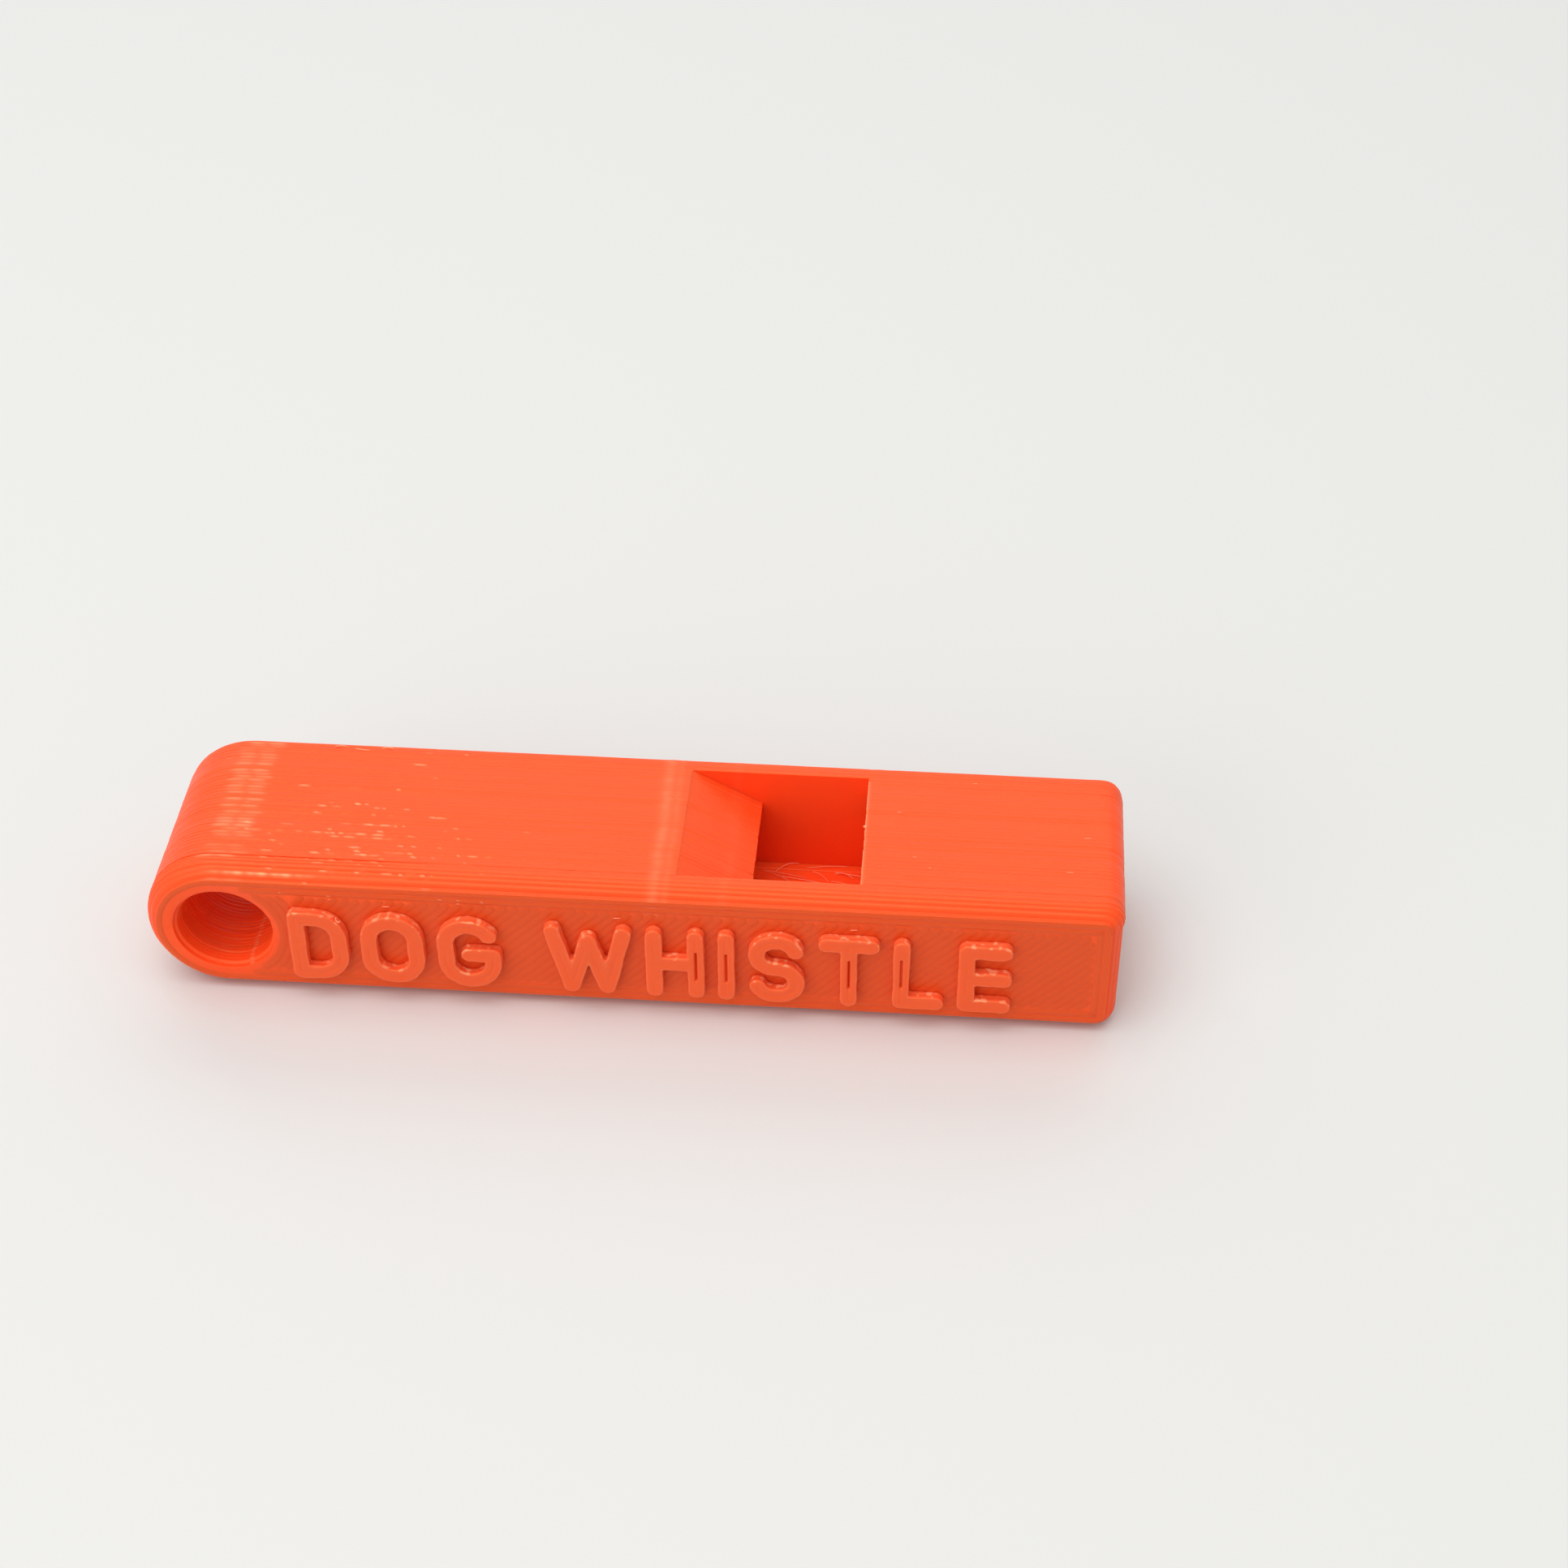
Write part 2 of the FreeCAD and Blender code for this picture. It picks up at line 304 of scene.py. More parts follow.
def rows(y_low, y_high, step=lambda y: 0.0, groove=GROOVE):
    """Each layer's rows: place along Y, inward shift, layer number, crest. step(y) is the
    shift of the layer whose middle is at y, such as a rounded edge's. A layer is a bead, so
    it leans over to the next one where they are shifted differently."""
    count = math.ceil((y_high - y_low) / LAYER - 0.01)
    pitch = (y_high - y_low) / count
    first = round((y_low - Y_FRONT) / LAYER)
    insets = [step(y_low + (k + 0.5) * pitch) for k in range(-1, count + 1)]
    insets[0], insets[-1] = insets[1], insets[-2]
    found = []
    for k in range(count):
        before, here, after = insets[k:k + 3]
        shares = BEAD_SHARES + (1,) if k == count - 1 else BEAD_SHARES
        for share in shares:
            side = abs(2 * share - 1)
            neighbour = before if share < 0.5 else after
            lean = LEAN * side ** 3 * (neighbour - here)
            depth = groove * layer_groove[first + k] * side ** 3
            found.append((y_low + (k + share) * pitch, here + lean + depth, first + k, 1 - side))
    return found


def rounded(y_outer, radius):
    """Shift of a layer on a rounded edge or a flare that ends at the face y_outer."""
    def step(y):
        left = radius - abs(y - y_outer)
        return radius - math.sqrt(radius ** 2 - left ** 2) if left > 0 else 0.0
    return step


# Half a flattened bead: place across the line in widths, height in reliefs
LINE_SECTION = [(-0.5, -0.03), (-0.48, 0), (-0.3, 0.75), (0, 1),
                (0.3, 0.75), (0.48, 0), (0.5, -0.03)]
LINE_END = 0.6  # how thick a line is at its two ends


def directions(path):
    """Unit vectors along a path, at each of its points."""
    along = np.gradient(path, axis=0)
    return along / np.linalg.norm(along, axis=1)[:, None]


class Shell:
    """Gathers rings of points and the faces between them, in millimetres."""

    def __init__(self):
        self.points = []
        self.faces = []
        self.caps = []
        self.scars_and_highlights = []

    def ring(self, points, scars_and_highlights=None):
        start = len(self.points)
        self.points.extend(points)
        self.scars_and_highlights.extend(np.zeros(len(points)) if scars_and_highlights is None else scars_and_highlights)
        return list(range(start, start + len(points)))

    def bridge(self, one, other):
        for i in range(len(one)):
            j = (i + 1) % len(one)
            self.faces.append((one[i], one[j], other[j], other[i]))

    def tube(self, rings):
        """Skin over a row of rings, closed at both ends."""
        for one, other in zip(rings, rings[1:]):
            self.bridge(one, other)
        self.faces.append(tuple(rings[0]))
        self.faces.append(tuple(rings[-1]))

    def layered(self, shape, row_list):
        """Walls along an outline, through all the layer rows. Returns the end rings."""
        where, move = shape
        rings = []
        for y, inset, layer, crest in row_list:
            depth, scar_and_highlight = wander(where, layer, crest)
            flat = where - move * (inset + depth)[:, None]
            rings.append(self.ring(np.insert(flat, 1, y, axis=1), scar_and_highlight))
        for one, other in zip(rings, rings[1:]):
            self.bridge(one, other)
        return rings[0], rings[-1]

    def printed_line(self, path, y_face, outward, width=NOZZLE, relief=LINE_RELIEF):
        """One extruded line lying on a face, along a path in the XZ plane."""
        path = np.array(path)
        along = directions(path)
        side = np.stack([along[:, 1], -along[:, 0]], 1)
        rings = []
        for index, (point, across) in enumerate(zip(path, side)):
            thickness = LINE_END if index in (0, len(path) - 1) else 1.0
            loop = []
            for u, height in LINE_SECTION:
                x, z = point + across * u * width * thickness
                rise = height * relief * thickness if height > 0 else height
                loop.append((x, y_face + outward * rise, z))
            rings.append(self.ring(loop))
        self.tube(rings)

    def make(self, name, material):
        mesh = bpy.data.meshes.new(name)
        mesh.from_pydata([tuple(p) for p in self.points], [], self.faces)
        work = bmesh.new()
        work.from_mesh(mesh)
        work.verts.ensure_lookup_table()
        for group in self.caps:
            edges = []
            for ring in group:
                for i in range(len(ring)):
                    pair = (work.verts[ring[i]], work.verts[ring[(i + 1) % len(ring)]])
                    edges.append(work.edges.get(pair))
            bmesh.ops.triangle_fill(work, edges=edges, use_beauty=True, use_dissolve=False)
        bmesh.ops.recalc_face_normals(work, faces=work.faces)
        work.to_mesh(mesh)
        work.free()
        finish_piece(name, mesh, self.scars_and_highlights, material)


def finish_piece(name, mesh, scars_and_highlights, material):
    """Turns a mesh in millimetres into a piece of the whistle."""
    scar_and_highlight = mesh.attributes.new("scar_and_highlight", "FLOAT", "POINT")
    scar_and_highlight.data.foreach_set("value", np.clip(np.array(scars_and_highlights, np.float32), 0, 1))
    mesh.transform(Matrix.Scale(MM, 4))
    mesh.polygons.foreach_set("use_smooth", [True] * len(mesh.polygons))
    mesh.set_sharp_from_angle(angle=math.radians(SHARP_ANGLE))
    mesh.materials.append(material)
    piece = bpy.data.objects.new(name, mesh)
    bpy.context.scene.collection.objects.link(piece)
    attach(piece, "root")
    if name in frame["nodes"]:
        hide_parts(name)


# Plastic

STREAK_STRETCH = (140, 3400, 140)  # streaks are thin across the layers and long along them
# The pale colour of scars and of painted highlights
SCAR_AND_HIGHLIGHT_COLOUR = (1.0, 0.40, 0.21, 1)
CLOUD_SCALE = 160.0
GRAIN_SCALE = 5200.0
GRAIN_STRENGTH = 0.35
GRAIN_HEIGHT = 0.00001


def add_node(tree, kind, **values):
    node = tree.nodes.new(kind)
    for key, value in values.items():
        setattr(node, key, value)
    return node


def add_noise(tree, where, scale, detail):
    node = add_node(tree, "ShaderNodeTexNoise")
    node.inputs["Scale"].default_value = scale
    node.inputs["Detail"].default_value = detail
    tree.links.new(where, node.inputs["Vector"])
    return node.outputs["Fac"]


def add_range(tree, value, low, high):
    node = add_node(tree, "ShaderNodeMapRange")
    node.inputs["To Min"].default_value = low
    node.inputs["To Max"].default_value = high
    tree.links.new(value, node.inputs["Value"])
    return node.outputs["Result"]


def plastic(name, base, roughness):
    """Satin printed plastic: its colour drifts a little, its gloss runs along the layers, and
    its scars and painted highlights are pale."""
    material = bpy.data.materials.new(name)
    material.use_nodes = True
    tree = material.node_tree
    shader = tree.nodes["Principled BSDF"]
    shader.inputs["IOR"].default_value = 1.46
    shader.inputs["Specular Tint"].default_value = (1.0, 0.88, 0.43, 1)
    shader.inputs["Subsurface Weight"].default_value = 0.30
    shader.inputs["Subsurface Radius"].default_value = (1.0, 0.30, 0.10)
    shader.inputs["Subsurface Scale"].default_value = 0.0012
    where = add_node(tree, "ShaderNodeTexCoord").outputs["Object"]
    stretch = add_node(tree, "ShaderNodeMapping")
    stretch.inputs["Scale"].default_value = STREAK_STRETCH
    tree.links.new(where, stretch.inputs["Vector"])
    streaks = add_noise(tree, stretch.outputs["Vector"], 1.0, 4.0)
    cloud = add_noise(tree, where, CLOUD_SCALE, 3.0)
    grain = add_noise(tree, where, GRAIN_SCALE, 3.0)
    scar_and_highlight = add_node(tree, "ShaderNodeAttribute", attribute_name="scar_and_highlight").outputs["Fac"]

    drift = add_node(tree, "ShaderNodeMix", data_type="RGBA")
    drift.inputs["A"].default_value = (*base, 1)
    drift.inputs["B"].default_value = (base[0], base[1] * 1.22, base[2] * 1.5, 1)
    tree.links.new(streaks, drift.inputs["Factor"])
    patch = add_node(tree, "ShaderNodeMix", data_type="RGBA", blend_type="MULTIPLY")
    patch.inputs["Factor"].default_value = 1.0
    tree.links.new(drift.outputs["Result"], patch.inputs["A"])
    tree.links.new(add_range(tree, cloud, 0.94, 1.0), patch.inputs["B"])
    # Mixes in the pale colour where the attribute marks scars and painted highlights
    scars_and_highlights_mix = add_node(tree, "ShaderNodeMix", data_type="RGBA")
    scars_and_highlights_mix.inputs["B"].default_value = SCAR_AND_HIGHLIGHT_COLOUR
    tree.links.new(scar_and_highlight, scars_and_highlights_mix.inputs["Factor"])
    tree.links.new(patch.outputs["Result"], scars_and_highlights_mix.inputs["A"])
    tree.links.new(scars_and_highlights_mix.outputs["Result"], shader.inputs["Base Color"])

    gloss = add_range(tree, streaks, roughness - 0.10, roughness + 0.12)
    tree.links.new(gloss, shader.inputs["Roughness"])
    bump = add_node(tree, "ShaderNodeBump")
    bump.inputs["Strength"].default_value = GRAIN_STRENGTH
    bump.inputs["Distance"].default_value = GRAIN_HEIGHT
    tree.links.new(grain, bump.inputs["Height"])
    tree.links.new(bump.outputs["Normal"], shader.inputs["Normal"])
    return material


body_plastic = plastic("printed_plastic", (0.98, 0.067, 0.010), 0.40)
letter_plastic = plastic("printed_plastic_letters", (0.86, 0.083, 0.018), 0.33)
wisp_plastic = plastic("plastic_wisps", (1.0, 0.30, 0.15), 0.35)


# Side plates

PERIMETERS = 2  # printed lines along a side face's rim
RIM_LINE_WIDTH = 0.36
RIM_RELIEF = 0.028
BORE_RINGS = 3  # printed lines around the lanyard hole
BORE_RING_TURN = 5  # degrees between points
FIRST_LINE = 0.6  # where the first line's middle is, in line widths from its edge
DIAGONAL = 45  # degrees
DIAGONAL_STEP = 0.16
SHORTEST_RUN = 4  # points
FLAT_INSET = rounded(0, EDGE_RADIUS)(LAYER / 2)  # where the outermost layer's flat begins


def edge_distance(x, z):
    """Distance inwards from the whole outline, the mouth's small corners left square."""
    straight_part = np.minimum(np.minimum(z, TOP - z), X_MOUTH - x)
    round_part = END_RADIUS - np.hypot(x - X_ROUND, z - Z_MIDDLE)
    return np.where(x < X_ROUND, round_part, straight_part)


def bore_distance(x, z):
    return np.hypot(x - X_BORE, z - Z_MIDDLE) - BORE_RADIUS - BORE_FLARE


def clear_of_bore(x, z):
    return bore_distance(x, z) > 0.35 * NOZZLE


def clear_of_rim(x, z):
    return edge_distance(x, z) > FLAT_INSET + (PERIMETERS + 0.1) * NOZZLE


def middle_of_face(x, z):
    rim = edge_distance(x, z) > FLAT_INSET + (PERIMETERS + 0.15) * NOZZLE
    return rim & (bore_distance(x, z) > (BORE_RINGS + 0.2) * NOZZLE)


def runs(path, inside):
    """The stretches of a path whose points are inside."""
    keep = inside(path[:, 0], path[:, 1])
    found, run = [], []
    for point, kept in zip(path, keep):
        if kept:
            run.append(point)
        if run and not kept:
            found.append(run)
            run = []
    if run:
        found.append(run)
    return [r for r in found if len(r) >= SHORTEST_RUN]


def face_loops(shell, y_face, outward):
    """Printed lines that follow a side face's rim and its lanyard hole."""
    where, move = whole_outline()
    for k in range(PERIMETERS):
        path = where - move * (FLAT_INSET + (k + FIRST_LINE) * NOZZLE)
        path = np.concatenate([path, path[:1]])
        for run in runs(path, clear_of_bore):
            shell.printed_line(run, y_face, outward, width=RIM_LINE_WIDTH, relief=RIM_RELIEF)
    angles = np.radians(np.arange(-180, 181, BORE_RING_TURN))
    round_bore = np.stack([np.cos(angles), np.sin(angles)], 1)
    for k in range(BORE_RINGS):
        radius = BORE_RADIUS + BORE_FLARE + (k + FIRST_LINE) * NOZZLE
        circle = (X_BORE, Z_MIDDLE) + radius * round_bore
        for run in runs(circle, clear_of_rim):
            shell.printed_line(run, y_face, outward)


def diagonal_lines(shell, y_face, outward):
    """Parallel printed lines that fill the middle of a side face."""
    turn_by = math.radians(DIAGONAL)
    along = np.array([math.cos(turn_by), math.sin(turn_by)])
    across = np.array([-along[1], along[0]])
    middle = np.array([(X_LANYARD + X_MOUTH) / 2, TOP / 2])
    reach = math.hypot(X_MOUTH - X_LANYARD, TOP) / 2
    steps = np.arange(-reach, reach, DIAGONAL_STEP)
    count = int(reach / NOZZLE)
    for k in range(-count, count + 1):
        path = middle + across * k * NOZZLE + along * steps[:, None]
        for run in runs(path, middle_of_face):
            shell.printed_line(run[:-1:2] + run[-1:], y_face, outward)


def side_plate(name, y_outer, y_inner, outward):
    shell = Shell()
    y_face = y_outer - outward * LINE_RELIEF
    y_low, y_high = sorted((y_face, y_inner))
    edge_rows = rows(y_low, y_high, rounded(y_face, EDGE_RADIUS), PLATE_GROOVE)
    edge = shell.layered(whole_outline(), edge_rows)
    flare = rounded(y_face, BORE_FLARE)
    hole = shell.layered(bore_outline(), rows(y_low, y_high, flare, BORE_GROOVE))
    shell.caps = [[edge[0], hole[0]], [edge[1], hole[1]]]
    face_loops(shell, y_face, outward)
    diagonal_lines(shell, y_face, outward)
    shell.make(name, body_plastic)


side_plate("front_side_plate", Y_FRONT, Y_CORE_FRONT, -1)
side_plate("back_side_plate", Y_BACK, Y_CORE_BACK, 1)


# The pieces between the plates

def core_piece(name, shape, hole=None):
    shell = Shell()
    first, last = shell.layered(shape, rows(Y_CORE_FRONT, Y_CORE_BACK))
    shell.caps = [[first], [last]]
    if hole is not None:
        inner_rows = rows(Y_CORE_FRONT, Y_CORE_BACK, groove=BORE_GROOVE)
        inner_first, inner_last = shell.layered(hole, inner_rows)
        shell.caps = [[first, inner_first], [last, inner_last]]
    shell.make(name, body_plastic)


core_piece("lanyard_boss", outline(
    straight((X_ROUND, 0), (X_BOSS, 0)),
    straight((X_BOSS, 0), (X_BOSS, TOP), skin=False),
    straight((X_BOSS, TOP), (X_ROUND, TOP), step=FINE_STEP),
    turn((X_ROUND, Z_MIDDLE), END_RADIUS, 90, 270),
), bore_outline())

core_piece("chamber_end_wall", outline(
    straight((X_BOSS, 0), (X_CHAMBER, 0)),
    straight((X_CHAMBER, 0), (X_CHAMBER, Z_FLOOR), skin=False),
    straight((X_CHAMBER, Z_FLOOR), (X_CHAMBER, Z_ROOF)),
    straight((X_CHAMBER, Z_ROOF), (X_CHAMBER, TOP), skin=False),
    straight((X_CHAMBER, TOP), (X_BOSS, TOP), step=FINE_STEP),
    straight((X_BOSS, TOP), (X_BOSS, 0), skin=False),
))

core_piece("chamber_floor", outline(
    straight((X_CHAMBER, 0), (X_BLOCK, 0)),
    straight((X_BLOCK, 0), (X_BLOCK, Z_FLOOR), skin=False),
    straight((X_BLOCK, Z_FLOOR), (X_CHAMBER, Z_FLOOR)),
    straight((X_CHAMBER, Z_FLOOR), (X_CHAMBER, 0), skin=False),
))

core_piece("chamber_roof", outline(
    straight((X_CHAMBER, Z_ROOF), (X_RAMP, Z_ROOF)),
    straight((X_RAMP, Z_ROOF), (X_RAMP, TOP), skin=False),
    straight((X_RAMP, TOP), (X_CHAMBER, TOP), step=FINE_STEP),
    straight((X_CHAMBER, TOP), (X_CHAMBER, Z_ROOF), skin=False),
))

core_piece("labium_blade", outline(
    straight((X_RAMP, Z_ROOF), (X_RAMP + BLADE_HEEL, Z_BLADE_FOOT)),
    straight((X_RAMP + BLADE_HEEL, Z_BLADE_FOOT), (X_LABIUM, Z_BLADE_FOOT)),
    straight((X_LABIUM, Z_BLADE_FOOT), (X_LABIUM, Z_BLADE_FOOT + LABIUM_EDGE)),
    straight((X_LABIUM, Z_BLADE_FOOT + LABIUM_EDGE), (X_RAMP, TOP)),
    straight((X_RAMP, TOP), (X_RAMP, Z_ROOF), skin=False),
))

core_piece("fipple_block", outline(
    straight((X_BLOCK, Z_FLOOR), (X_MOUTH, Z_FLOOR), skin=False),
    straight((X_MOUTH, Z_FLOOR), (X_MOUTH, Z_WINDWAY)),
    straight((X_MOUTH, Z_WINDWAY), (X_BLOCK, Z_WINDWAY)),
    straight((X_BLOCK, Z_WINDWAY), (X_BLOCK, Z_FLOOR)),
))

core_piece("windway_roof", outline(
    straight((X_BLOCK, Z_ROOF), (X_MOUTH, Z_ROOF)),
    straight((X_MOUTH, Z_ROOF), (X_MOUTH, TOP - MOUTH_CORNER)),
    turn((X_MOUTH - MOUTH_CORNER, TOP - MOUTH_CORNER), MOUTH_CORNER, 0, 90),
    straight((X_MOUTH - MOUTH_CORNER, TOP), (X_BLOCK, TOP), step=FINE_STEP),
    straight((X_BLOCK, TOP), (X_BLOCK, Z_ROOF)),
))

core_piece("mouthpiece_floor", outline(
    straight((X_BLOCK, 0), (X_MOUTH - MOUTH_CORNER, 0)),
    turn((X_MOUTH - MOUTH_CORNER, MOUTH_CORNER), MOUTH_CORNER, -90, 0),
    straight((X_MOUTH, MOUTH_CORNER), (X_MOUTH, Z_FLOOR)),
    straight((X_MOUTH, Z_FLOOR), (X_BLOCK, Z_FLOOR), skin=False),
    straight((X_BLOCK, Z_FLOOR), (X_BLOCK, 0), skin=False),
))


# Raised letters: two printed layers, each stroke two lines side by side

def bend_points(x, z, radius, start_deg, end_deg):
    count = max(2, round(abs(end_deg - start_deg) / 12)) + 1
    angles = np.radians(np.linspace(start_deg, end_deg, count))
    return [(x + radius * math.cos(a), z + radius * math.sin(a)) for a in angles]


def strokes_of(letter, w, h):
    """Middle lines of a letter's strokes, in a box w wide and h high."""
    r = w / 2
    if letter == "d":
        c = 1.3
        bowl = bend_points(w - c, c, c, -90, 0) + bend_points(w - c, h - c, c, 0, 90)
        return [[(0, 0), (0, h)], [(0, 0)] + bowl + [(0, h)]]
    if letter == "o":
        loop = bend_points(r, r, r, 180, 360) + bend_points(r, h - r, r, 0, 180)
        return [loop + loop[:1]]
    if letter == "g":
        middle = 0.48 * h
        loop = bend_points(r, h - r, r, 30, 180) + bend_points(r, r, r, 180, 360)
        return [loop + [(w, middle), (r, middle)]]
    if letter == "w":
        return [[(0, h), (w / 4, 0), (w / 2, 0.85 * h), (3 * w / 4, 0), (w, h)]]
    if letter == "h":
        return [[(0, 0), (0, h)], [(w, 0), (w, h)], [(0, h / 2), (w, h / 2)]]
    if letter == "i":
        return [[(0, 0), (0, h)]]
    if letter == "s":
        c = h / 4
        return [bend_points(w - c, 3 * c, c, 20, 90) + bend_points(c, 3 * c, c, 90, 270)
                + bend_points(w - c, c, c, 90, -90) + bend_points(c, c, c, 270, 200)]
    if letter == "t":
        return [[(0, h), (w, h)], [(r, 0), (r, h)]]
    if letter == "l":
        return [[(0, h), (0, 0), (w, 0)]]
    return [[(0, 0), (0, h)], [(0, 0), (w, 0)], [(0, h / 2), (w, h / 2)], [(0, h), (w, h)]]


def nearest_on(strokes, points):
    """For each point, the distance to the nearest stroke's middle line and its direction."""
    best = np.full(len(points), FAR)
    away = np.zeros_like(points)
    for stroke in strokes:
        for start, end in zip(stroke, stroke[1:]):
            start, end = np.array(start), np.array(end)
            run = end - start
            share = np.clip((points - start) @ run / (run @ run), 0, 1)
            gap = points - start - share[:, None] * run
            distance = np.linalg.norm(gap, axis=1)
            closer = distance < best
            best[closer] = distance[closer]
            away[closer] = gap[closer]
    return best, away / np.maximum(best, 1e-6)[:, None]


def noise_at(points, scale, seed):
    """Smooth noise between about -1 and 1 at each point."""
    return np.array([noise.noise(Vector(p) * scale + Vector((seed, 0, 0))) for p in points])


LETTER_VOXEL = 0.045
MELT_ROUNDS = 9
SLOTTED = {"i": 0, "t": 1, "l": 0, "h": 1}  # the stroke whose two lines don't quite meet
SLOT_PART = (0.22, 0.72)
SLOT_WIDTH = 0.055
SLOT_DEPTH = 0.26
SEAM_WIDTH = 0.08  # of the shallow line along the middle of every stroke
SEAM_DEPTH = 0.022
WAIST_DEPTH = 0.035  # of the groove between a letter's two layers
WAIST_WIDTH = 0.10
EDGE_SHRINK = 0.005
EDGE_NOISE = [(0.9, 0.040), (2.7, 0.022)]  # how fine, how far the outline wanders
TOP_NOISE = 1.6
TOP_NOISE_HEIGHT = 0.014
SPECKLE_NOISE = 3.4
SPECKLE_CONTRAST = 6
SPECKLE_CUT = 1.2  # the higher, the fewer pale speckles of painted highlight
# Painted highlights on the letters' rims: faint all round, stronger in speckles
EDGE_HIGHLIGHT_PALENESS = 0.08
SPECKLE_HIGHLIGHT_PALENESS = 0.6


def ramp(values, start, width):
    """0 up to start, then rising to 1 over the width."""
    return np.clip((values - start) / width, 0, 1)


def nearest_slot(letter, strokes, points):
    """Distance from the middle part of the letter's slotted stroke, far away if it has none."""
    if letter not in SLOTTED:
        return np.full(len(points), FAR)
    start, end = (np.array(p) for p in strokes[SLOTTED[letter]][:2])
    part = [tuple(start + share * (end - start)) for share in SLOT_PART]
    return nearest_on([part], points)[0]


def melted_letter(node):
    """The CAD letter with its edges melted round, in millimetres."""
    mesh = frame["nodes"][node].data.copy()
    mesh.transform(Matrix.Scale(1 / MM, 4))
    mesh.materials.clear()
    piece = bpy.data.objects.new(node + "_print", mesh)
    bpy.context.scene.collection.objects.link(piece)
    remesh = piece.modifiers.new("blobs", "REMESH")
    remesh.mode = "VOXEL"
    remesh.voxel_size = LETTER_VOXEL
    smooth = piece.modifiers.new("melt", "SMOOTH")
    smooth.factor = 0.5
    smooth.iterations = MELT_ROUNDS
    graph = bpy.context.evaluated_depsgraph_get()
    melted = bpy.data.meshes.new_from_object(piece.evaluated_get(graph))
    bpy.data.objects.remove(piece)
    return melted


def raised_letter(node):
    letter = node[-1]
    low, high = box_mm(node)
    foot = low[[0, 2]] + STROKE / 2
    w, h = (high - low)[[0, 2]] - STROKE
    strokes = strokes_of(letter, w, h)
    melted = melted_letter(node)
    co = np.empty(len(melted.vertices) * 3)
    melted.vertices.foreach_get("co", co)
    co = co.reshape(-1, 3)
    flat = co[:, [0, 2]] - foot
    distance, away = nearest_on(strokes, flat)
    rise = (Y_FRONT - co[:, 1]) / (Y_FRONT - low[1])
    on_top = ramp(rise, 0.6, 0.3)
    near_edge = ramp(distance, 0.30, 0.12)
    phase = 3.0 * low[0]  # makes each letter's noise its own
    wobble = sum(reach * noise_at(co, scale, phase) for scale, reach in EDGE_NOISE)
    waist = WAIST_DEPTH * np.exp(-((rise - 0.5) / WAIST_WIDTH) ** 2)
    shift = near_edge * (wobble - waist - EDGE_SHRINK)
    co[:, [0, 2]] += away * shift[:, None]
    seam = SEAM_DEPTH * np.exp(-(distance / SEAM_WIDTH) ** 2)
    seam *= 0.5 + 0.5 * np.sin(1.7 * flat[:, 1] + phase)
    slot = SLOT_DEPTH * np.exp(-(nearest_slot(letter, strokes, flat) / SLOT_WIDTH) ** 2)
    ripple = TOP_NOISE_HEIGHT * noise_at(co, TOP_NOISE, phase + 9)
    co[:, 1] += on_top * (seam + slot + ripple)
    melted.vertices.foreach_set("co", co.ravel())
    # Painted highlights: pale speckles where a rim faces up towards the lamps, over a faint
    # paleness along every rim
    speckle = noise_at(co, SPECKLE_NOISE, phase + 17) * SPECKLE_CONTRAST - SPECKLE_CUT
    facing_up = np.clip(away[:, 1], 0, 1)
    speckle_highlights = SPECKLE_HIGHLIGHT_PALENESS * facing_up * np.clip(speckle, 0, 1)
    scars_and_highlights = (EDGE_HIGHLIGHT_PALENESS + speckle_highlights) * near_edge
    finish_piece(node, melted, scars_and_highlights, letter_plastic)


for node_name in sorted(frame["nodes"]):
    if node_name.startswith("letter_"):
        raised_letter(node_name)


# Loose strings, curls and specks that the nozzle left behind

STRINGS_INSIDE = 24
STRING_LENGTH = (0.9, 3.5)
STRING_RADIUS = (0.012, 0.026)
STRING_BOW = 0.14
STRING_DRIFT = 0.5  # how far its end tends to lie from its start along Y
BACK_SHARE = (0.70, 0.98)  # the part of the chamber floor that the window shows best
STRAND_END = 0.35  # how thick a strand is at its two ends
TITLE_HAIRS = ("letter_02_o", "letter_04_w", "letter_08_t")  # a short hair lies above each
SPECKS_ON_ROOF = 6
SPECKS_ABOVE_LETTERS = 8


def between(low, high):
    """A random number between low and high."""
    return low + (high - low) * random.random()


def strand(shell, path, radius, sides=5):
    """Thin thread along a path of 3D points, thinner at its ends."""
    path = np.array(path)
    rings = []
    for index, (point, direction) in enumerate(zip(path, directions(path))):
        helper = np.array([0, 0, 1.0]) if abs(direction[2]) < 0.9 else np.array([1.0, 0, 0])
        side = np.cross(direction, helper)
        side /= np.linalg.norm(side)
        other = np.cross(direction, side)
        thickness = radius * (STRAND_END if index in (0, len(path) - 1) else 1)
        angles = np.arange(sides) * 2 * math.pi / sides
        rings.append(shell.ring([point + thickness * (math.cos(a) * side + math.sin(a) * other)
                                 for a in angles]))
    shell.tube(rings)


def bowed(start, end, bow):
    """Path from start to end that bows sideways and a little up."""
    start, end, bow = np.array(start), np.array(end), np.array(bow)
    shares = np.linspace(0, 1, 14)[:, None]
    return start + shares * (end - start) + np.sin(math.pi * shares) * bow


def curl(centre, radius, turns, rise):
    """Small open loop that stands out of the lettered side."""
    x, y, z = centre
    shares = np.linspace(0, 1, 22)
    angles = 2 * math.pi * turns * shares + 2.2
    return [(x + radius * math.cos(a), y - rise * share, z + radius * math.sin(a))
            for a, share in zip(angles, shares)]


def speck(shell, centre, length, height):
    """Low grain of plastic, longest along X."""
    path = [np.array(centre) + (u * length / 2, 0, 0) for u in np.linspace(-1, 1, 7)]
    strand(shell, path, height, sides=7)


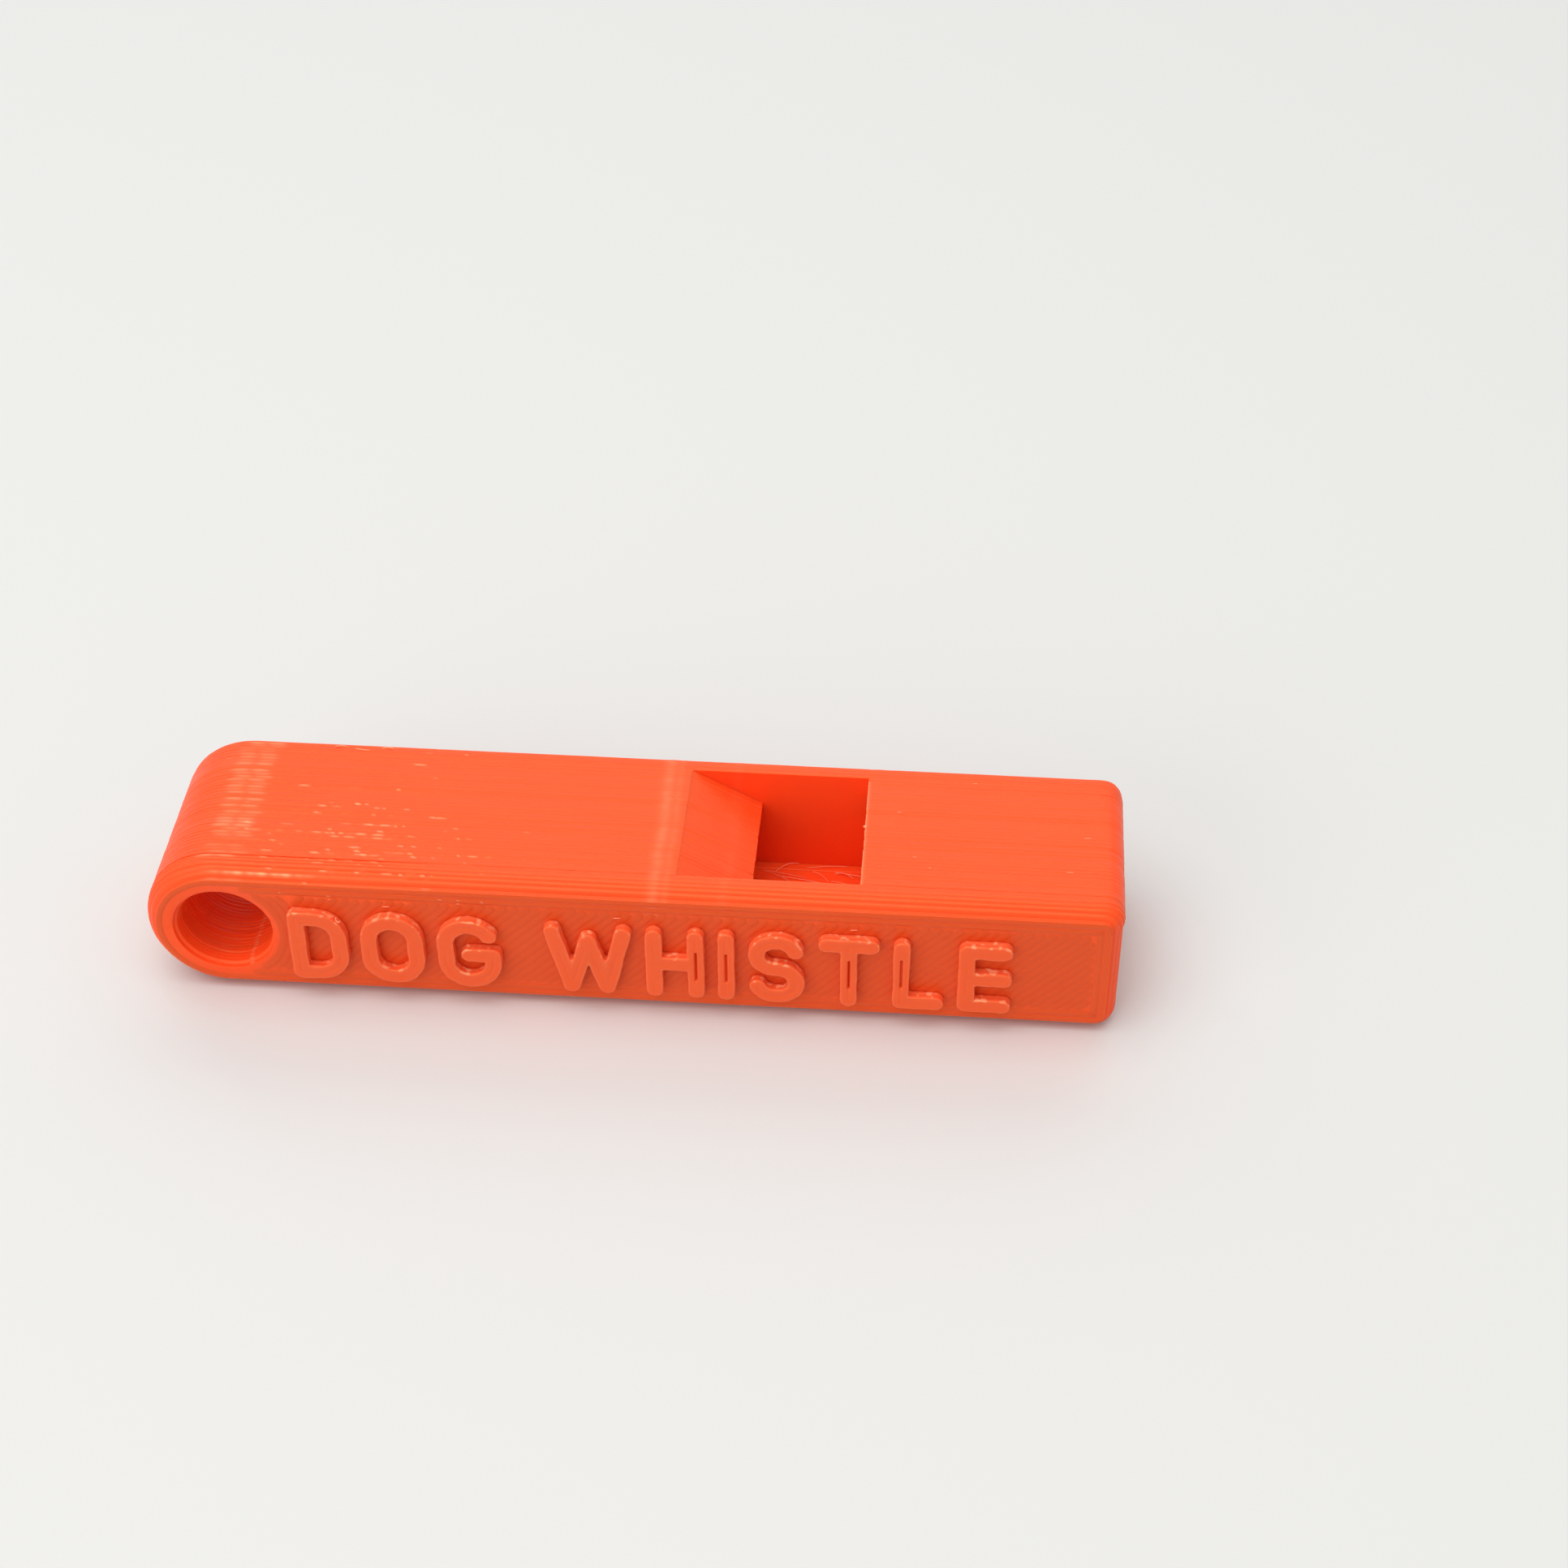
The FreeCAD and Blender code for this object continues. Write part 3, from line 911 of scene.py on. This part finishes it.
def strings_in_window(shell):
    """Strings on the chamber floor, half of them at the back, where the window shows it."""
    z = Z_FLOOR + 0.05
    y_low, y_high = Y_CORE_FRONT + 0.1, Y_CORE_BACK - 0.1
    for k in range(STRINGS_INSIDE):
        x = between(X_LABIUM - 0.3, X_BLOCK - 1.5)
        share = between(*BACK_SHARE) if k % 2 else between(0, 1)
        y = y_low + (y_high - y_low) * share
        x_end = min(x + between(*STRING_LENGTH), X_BLOCK - 0.1)
        y_end = min(max(y + STRING_DRIFT * random.normal(), y_low), y_high)
        bow = (0, STRING_BOW * random.normal(), between(0, 0.15))
        strand(shell, bowed((x, y, z), (x_end, y_end, z), bow), between(*STRING_RADIUS))


def hairs_outside(shell):
    """A curl at the first letter, short hairs above others, and one along the back edge."""
    _, first = box_mm("letter_01_d")
    strand(shell, curl((first[0] - 0.35, Y_FRONT - 0.45, first[2] - 0.35), 0.13, 0.7, 0.2), 0.03)
    for node in TITLE_HAIRS:
        low, high = box_mm(node)
        x = low[0] + between(0.3, 0.8) * (high[0] - low[0])
        start = (x, Y_FRONT - 0.02, high[2] + 0.32)
        end = (x + 0.4, Y_FRONT - 0.03, high[2] + 0.36)
        strand(shell, bowed(start, end, (0, -0.05, 0.05)), 0.022)
    x, y, z = X_LANYARD + 9, Y_CORE_BACK + 0.55, TOP - 0.06
    hair = [(x + 3.4 * u, y + 0.16 * math.sin(9 * u), z + 0.05 * math.sin(14 * u + 1))
            for u in np.linspace(0, 1, 30)]
    strand(shell, hair, 0.03)


def specks_outside(shell):
    """Grains on the mouthpiece's top, one at the window's edge, and some above the letters."""
    for _ in range(SPECKS_ON_ROOF):
        x = between(X_BLOCK + 0.5, X_MOUTH - 1.5)
        y = between(Y_CORE_FRONT, Y_CORE_BACK)
        speck(shell, (x, y, TOP - 0.01), between(0.12, 0.42), 0.020)
    speck(shell, (X_BLOCK + 0.03, Y_CORE_BACK - 4.2, TOP - 0.02), 0.22, 0.07)
    for _ in range(SPECKS_ABOVE_LETTERS):
        x = between(X_LANYARD + 7, X_LANYARD + 21)
        z = TOP - between(1.2, 1.7)
        speck(shell, (x, Y_FRONT, z), between(0.1, 0.3), 0.02)


strings = Shell()
strings_in_window(strings)
hairs_outside(strings)
specks_outside(strings)
strings.make("nozzle_strings", wisp_plastic)


# Floor, light and camera

FLOOR_REACH = 3.0
FLOOR_COLOUR = (0.62, 0.62, 0.605, 1)
WORLD_COLOUR = (1.0, 1.0, 0.99, 1)
WORLD_STRENGTH = 0.63
LIGHT_TARGET = (0, 0, 0.004)
SOFTBOXES = [  # name, place, size, power
    ("top_softbox", (-0.11, -0.12, 0.60), (0.6, 0.6), 2.8),
    ("back_softbox", (0.05, 0.55, 0.46), (0.7, 0.4), 0.8),
    ("front_softbox", (-0.45, -0.55, 0.28), (0.6, 0.35), 1.6),
    ("streak_box", (-0.32, 0.43, 0.28), (0.10, 0.30), 0.14),
]
CAMERA_PLACE = (0.01719, -0.11618, 0.11019)
CAMERA_PITCH = 40.10  # degrees down from level
CAMERA_YAW = 4.437
CAMERA_ROLL = 0.155
CAMERA_LENS = 64.22
SENSOR = 36.0


def floor():
    r = FLOOR_REACH
    mesh = bpy.data.meshes.new("floor")
    mesh.from_pydata([(-r, -r, 0), (r, -r, 0), (r, r, 0), (-r, r, 0)], [], [(0, 1, 2, 3)])
    plane = bpy.data.objects.new("floor", mesh)
    bpy.context.scene.collection.objects.link(plane)
    material = bpy.data.materials.new("white_table")
    material.use_nodes = True
    shader = material.node_tree.nodes["Principled BSDF"]
    shader.inputs["Base Color"].default_value = FLOOR_COLOUR
    shader.inputs["Roughness"].default_value = 0.55
    plane.data.materials.append(material)


def softbox(name, place, size, power):
    lamp = bpy.data.lights.new(name, "AREA")
    lamp.shape = "RECTANGLE"
    lamp.size, lamp.size_y = size
    lamp.energy = power
    holder = bpy.data.objects.new(name, lamp)
    bpy.context.scene.collection.objects.link(holder)
    holder.location = place
    aim = Vector(LIGHT_TARGET) - Vector(place)
    holder.rotation_euler = aim.to_track_quat("-Z", "Y").to_euler()


def lights():
    world = bpy.data.worlds.new("studio")
    world.use_nodes = True
    background = world.node_tree.nodes["Background"]
    background.inputs["Color"].default_value = WORLD_COLOUR
    background.inputs["Strength"].default_value = WORLD_STRENGTH
    bpy.context.scene.world = world
    for box in SOFTBOXES:
        softbox(*box)


def camera():
    pitch, yaw, roll = (math.radians(a) for a in (CAMERA_PITCH, CAMERA_YAW, CAMERA_ROLL))
    forward = Vector((0, math.cos(pitch), -math.sin(pitch)))
    right = Vector((1, 0, 0))
    down = forward.cross(right)
    tilted_right = math.cos(roll) * right + math.sin(roll) * down
    tilted_down = math.cos(roll) * down - math.sin(roll) * right
    turn_by = Matrix.Rotation(yaw, 3, "Z")
    axes = [turn_by @ v for v in (tilted_right, -tilted_down, -forward)]
    lens = bpy.data.cameras.new("camera")
    lens.lens = CAMERA_LENS
    lens.sensor_width = SENSOR
    lens.clip_start = 0.005
    lens.clip_end = 20.0
    holder = bpy.data.objects.new("camera", lens)
    bpy.context.scene.collection.objects.link(holder)
    holder.matrix_world = Matrix.Translation(CAMERA_PLACE) @ Matrix(axes).transposed().to_4x4()
    bpy.context.scene.camera = holder


floor()
lights()
camera()
bpy.context.scene.view_settings.view_transform = "Standard"
